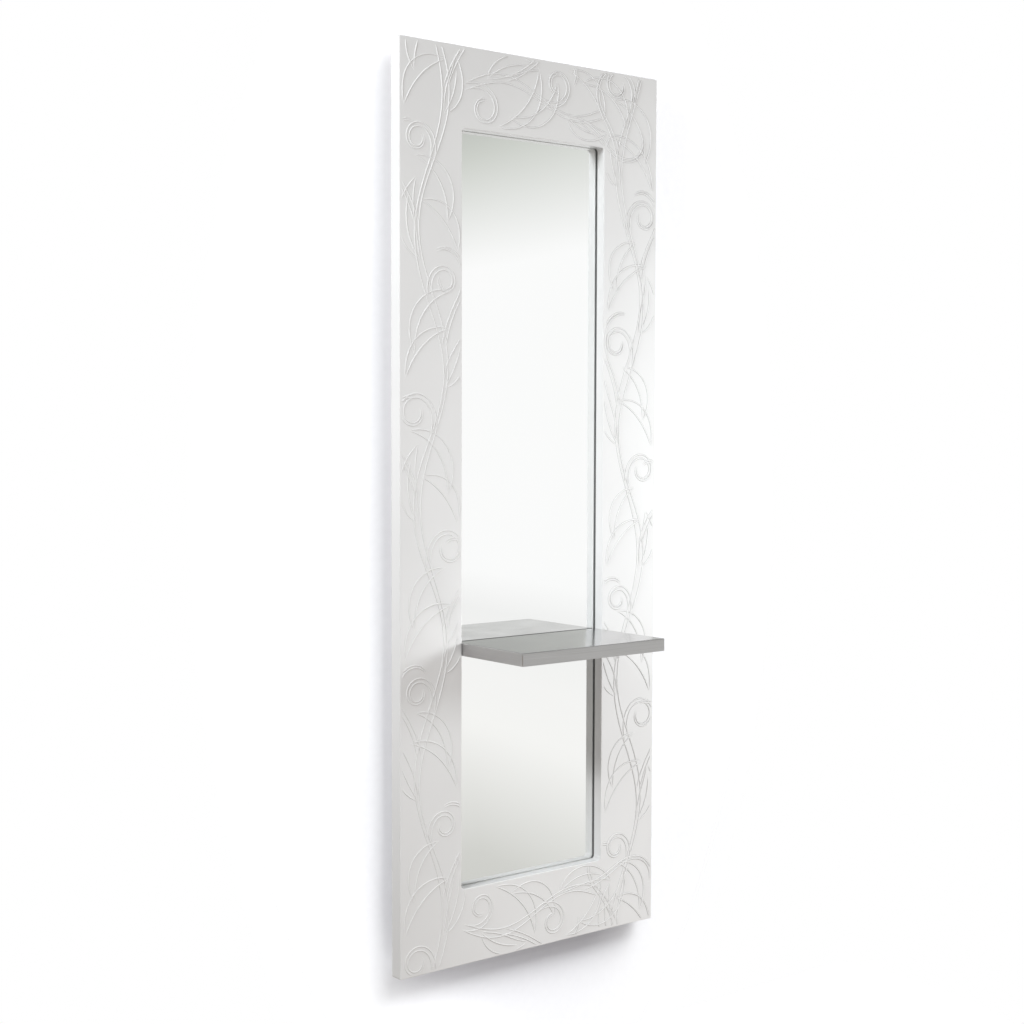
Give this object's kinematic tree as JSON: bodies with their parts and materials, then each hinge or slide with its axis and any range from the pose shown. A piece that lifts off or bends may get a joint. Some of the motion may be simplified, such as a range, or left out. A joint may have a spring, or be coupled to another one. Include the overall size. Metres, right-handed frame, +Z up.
{
  "type": "salon styling mirror",
  "caption": "Tall wall-hung salon styling mirror: white lacquered panel with raised line ornament round a recessed mirror, and a steel-clad shelf; lifts off a hook rail.",
  "frame": {"origin": "middle of the back face of the wall rail, on the wall plane", "axes": "+Z up, +Y into the wall, +X to the right as seen from the front"},
  "size_m": [0.7, 0.247, 1.9],
  "materials": {
    "white_lacquer": "gloss",
    "mirror_silver": "polished",
    "black_foam": "matte",
    "hardboard": "matte",
    "rail_aluminium": "satin",
    "brushed_steel": "satin",
    "core_board": "matte",
    "coated_steel": "satin",
    "white_nylon": "matte",
    "black_rubber": "matte",
    "zinc_steel": "satin"
  },
  "bodies": {
    "wall_mount": {"wall_rail": "rail_aluminium"},
    "mirror_unit": {"front_panel": "white_lacquer", "mirror_pane": "mirror_silver", "mirror_seal": "black_foam", "back_panel": "hardboard", "hanging_rail": "rail_aluminium", "shelf_skin": "brushed_steel", "shelf_base": "brushed_steel", "shelf_core": "core_board", "shelf_gasket": "black_rubber", "support_plate": "coated_steel", "support_rod_left": "coated_steel", "support_rod_right": "coated_steel", "rod_bush_left": "white_nylon", "rod_bush_right": "white_nylon", "wall_bumper_left": "black_rubber", "wall_bumper_right": "black_rubber", "rail_screw_1": "zinc_steel", "rail_screw_2": "zinc_steel", "rail_screw_3": "zinc_steel", "rail_screw_4": "zinc_steel", "rail_screw_5": "zinc_steel", "back_screw_01": "zinc_steel", "back_screw_02": "zinc_steel", "back_screw_03": "zinc_steel", "back_screw_04": "zinc_steel", "back_screw_05": "zinc_steel", "back_screw_06": "zinc_steel", "back_screw_07": "zinc_steel", "back_screw_08": "zinc_steel", "back_screw_09": "zinc_steel", "back_screw_10": "zinc_steel", "back_screw_11": "zinc_steel", "back_screw_12": "zinc_steel", "support_screw_1": "zinc_steel", "support_screw_2": "zinc_steel", "support_screw_3": "zinc_steel", "support_screw_4": "zinc_steel", "support_screw_5": "zinc_steel", "support_screw_6": "zinc_steel", "base_screw_1": "zinc_steel", "base_screw_2": "zinc_steel", "base_screw_3": "zinc_steel", "base_screw_4": "zinc_steel", "bumper_screw_left": "zinc_steel", "bumper_screw_right": "zinc_steel", "grub_screw_left": "zinc_steel", "grub_screw_right": "zinc_steel"}
  },
  "joints": [
    {"name": "lift_off", "type": "slide", "parent": "wall_mount", "child": "mirror_unit", "axis": [0, 0, 1], "range_m": [0, 0.015]}
  ]
}
